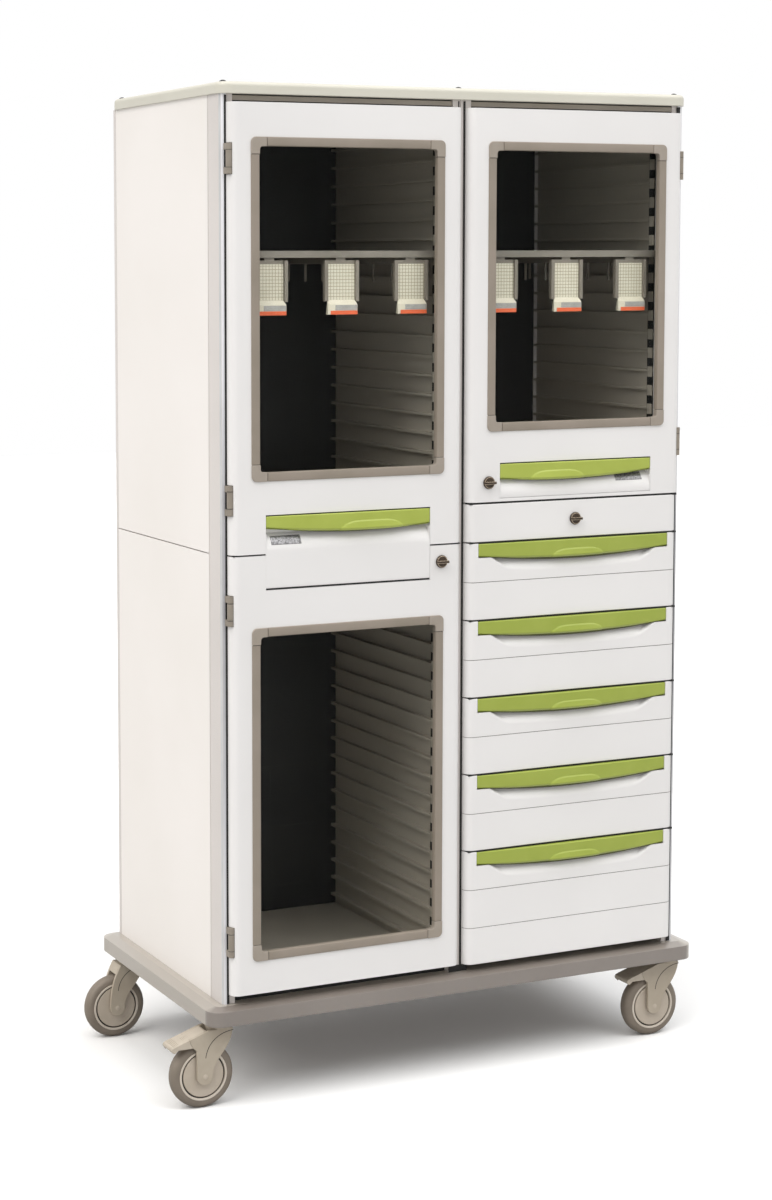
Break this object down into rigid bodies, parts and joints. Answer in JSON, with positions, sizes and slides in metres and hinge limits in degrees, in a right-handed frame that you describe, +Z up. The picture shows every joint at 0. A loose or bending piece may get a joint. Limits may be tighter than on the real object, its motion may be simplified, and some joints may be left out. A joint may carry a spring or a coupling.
{
  "type": "catheter supply cabinet",
  "caption": "Mobile two-bay catheter supply cabinet with glazed doors, a bank of drawers, green grips, hanging slides and braked casters.",
  "frame": {"origin": "on the floor, under the middle of the overall footprint", "axes": "+Z up, -Y toward the front with the doors and drawers, +X to the right seen from the front"},
  "size_m": [1.154, 0.5886, 1.928],
  "materials": {
    "panel_white": "satin off-white",
    "base_taupe": "satin taupe",
    "post_metal": "satin extruded",
    "back_black": "matt black",
    "liner_beige": "satin beige",
    "slide_taupe": "satin taupe",
    "tag_cream": "matt cream",
    "front_grey": "satin light grey",
    "hinge_metal": "satin taupe",
    "runner_steel": "satin",
    "trim_taupe": "satin taupe",
    "glazing": "clear",
    "grip_green": "satin olive green",
    "lock_bronze": "dark bronze",
    "box_grey": "satin grey",
    "fork_beige": "satin beige",
    "tyre_grey": "matt grey-brown",
    "pedal_beige": "satin beige"
  },
  "bodies": {
    "cabinet": {"base_tray": "base_taupe", "corner_posts": "post_metal", "centre_post": "post_metal", "side_panels": "panel_white", "back_panels": "back_black", "centre_partition": "liner_beige", "top_panel": "panel_white", "top_caps": "back_black", "header_rails": "base_taupe", "bay_liners": "liner_beige", "bay_decks": "liner_beige", "shelves": "liner_beige", "catheter_slides": "slide_taupe", "slide_tags": "tag_cream", "lock_panel": "front_grey", "hinge_frame_leaves": "hinge_metal", "drawer_runners": "runner_steel"},
    "left_door": {"left_upper_leaf": "front_grey", "left_lower_leaf": "front_grey", "left_window_trims": "trim_taupe", "left_panes": "glazing", "left_handle_plate": "front_grey", "left_grip": "grip_green", "left_hinge_leaves": "hinge_metal"},
    "right_door": {"right_leaf": "front_grey", "right_window_trim": "trim_taupe", "right_pane": "glazing", "right_handle_plate": "front_grey", "right_grip": "grip_green", "right_hinge_leaves": "hinge_metal"},
    "left_lock": {"left_lock": "lock_bronze"},
    "right_lock": {"right_lock": "lock_bronze"},
    "drawer_lock": {"drawer_lock": "lock_bronze"},
    "drawer_1": {"drawer_1_front": "front_grey", "drawer_1_grip": "grip_green", "drawer_1_box": "box_grey"},
    "drawer_2": {"drawer_2_front": "front_grey", "drawer_2_grip": "grip_green", "drawer_2_box": "box_grey"},
    "drawer_3": {"drawer_3_front": "front_grey", "drawer_3_grip": "grip_green", "drawer_3_box": "box_grey"},
    "drawer_4": {"drawer_4_front": "front_grey", "drawer_4_grip": "grip_green", "drawer_4_box": "box_grey"},
    "drawer_5": {"drawer_5_front": "front_grey", "drawer_5_grip": "grip_green", "drawer_5_box": "box_grey"},
    "front_left_caster": {"front_left_fork": "fork_beige"},
    "front_left_wheel": {"front_left_wheel": "tyre_grey"},
    "front_right_caster": {"front_right_fork": "fork_beige"},
    "front_right_wheel": {"front_right_wheel": "tyre_grey"},
    "rear_left_caster": {"rear_left_fork": "fork_beige"},
    "rear_left_wheel": {"rear_left_wheel": "tyre_grey"},
    "rear_right_caster": {"rear_right_fork": "fork_beige"},
    "rear_right_wheel": {"rear_right_wheel": "tyre_grey"},
    "front_left_pedal": {"front_left_pedal": "pedal_beige"},
    "front_right_pedal": {"front_right_pedal": "pedal_beige"}
  },
  "joints": [
    {"name": "left_door_hinge", "type": "hinge", "parent": "cabinet", "child": "left_door", "pos_m": [-0.46, -0.27275, 1.0517], "axis": [0, 0, -1], "range_deg": [0, 165]},
    {"name": "right_door_hinge", "type": "hinge", "parent": "cabinet", "child": "right_door", "pos_m": [0.528, -0.27275, 1.5], "axis": [0, 0, 1], "range_deg": [0, 165]},
    {"name": "left_lock_turn", "type": "hinge", "parent": "left_door", "child": "left_lock", "pos_m": [-0.018, -0.26075, 1.0187], "axis": [0, -1, 0], "range_deg": [0, 90]},
    {"name": "right_lock_turn", "type": "hinge", "parent": "right_door", "child": "right_lock", "pos_m": [0.086, -0.26075, 1.1669], "axis": [0, 1, 0], "range_deg": [0, 90]},
    {"name": "drawer_lock_turn", "type": "hinge", "parent": "cabinet", "child": "drawer_lock", "pos_m": [0.283, -0.26075, 1.0883], "axis": [0, -1, 0], "range_deg": [0, 90]},
    {"name": "drawer_1_slide", "type": "slide", "parent": "cabinet", "child": "drawer_1", "axis": [0, -1, 0], "range_m": [0, 0.38]},
    {"name": "drawer_2_slide", "type": "slide", "parent": "cabinet", "child": "drawer_2", "axis": [0, -1, 0], "range_m": [0, 0.38]},
    {"name": "drawer_3_slide", "type": "slide", "parent": "cabinet", "child": "drawer_3", "axis": [0, -1, 0], "range_m": [0, 0.38]},
    {"name": "drawer_4_slide", "type": "slide", "parent": "cabinet", "child": "drawer_4", "axis": [0, -1, 0], "range_m": [0, 0.38]},
    {"name": "drawer_5_slide", "type": "slide", "parent": "cabinet", "child": "drawer_5", "axis": [0, -1, 0], "range_m": [0, 0.38]},
    {"name": "front_left_swivel", "type": "hinge", "parent": "cabinet", "child": "front_left_caster", "pos_m": [-0.471, -0.23675, 0.16], "axis": [0, 0, 1], "continuous": true},
    {"name": "front_left_roll", "type": "hinge", "parent": "front_left_caster", "child": "front_left_wheel", "pos_m": [-0.509, -0.23675, 0.0635], "axis": [0, 1, 0], "continuous": true},
    {"name": "front_right_swivel", "type": "hinge", "parent": "cabinet", "child": "front_right_caster", "pos_m": [0.539, -0.23675, 0.16], "axis": [0, 0, 1], "continuous": true},
    {"name": "front_right_roll", "type": "hinge", "parent": "front_right_caster", "child": "front_right_wheel", "pos_m": [0.501, -0.23675, 0.0635], "axis": [0, 1, 0], "continuous": true},
    {"name": "rear_left_swivel", "type": "hinge", "parent": "cabinet", "child": "rear_left_caster", "pos_m": [-0.471, 0.21525, 0.16], "axis": [0, 0, 1], "continuous": true},
    {"name": "rear_left_roll", "type": "hinge", "parent": "rear_left_caster", "child": "rear_left_wheel", "pos_m": [-0.509, 0.21525, 0.0635], "axis": [0, 1, 0], "continuous": true},
    {"name": "rear_right_swivel", "type": "hinge", "parent": "cabinet", "child": "rear_right_caster", "pos_m": [0.539, 0.21525, 0.16], "axis": [0, 0, 1], "continuous": true},
    {"name": "rear_right_roll", "type": "hinge", "parent": "rear_right_caster", "child": "rear_right_wheel", "pos_m": [0.501, 0.21525, 0.0635], "axis": [0, 1, 0], "continuous": true},
    {"name": "front_left_brake", "type": "hinge", "parent": "front_left_caster", "child": "front_left_pedal", "pos_m": [-0.506, -0.23675, 0.144], "axis": [0, -1, 0], "range_deg": [0, 10]},
    {"name": "front_right_brake", "type": "hinge", "parent": "front_right_caster", "child": "front_right_pedal", "pos_m": [0.504, -0.23675, 0.144], "axis": [0, -1, 0], "range_deg": [0, 10]}
  ]
}
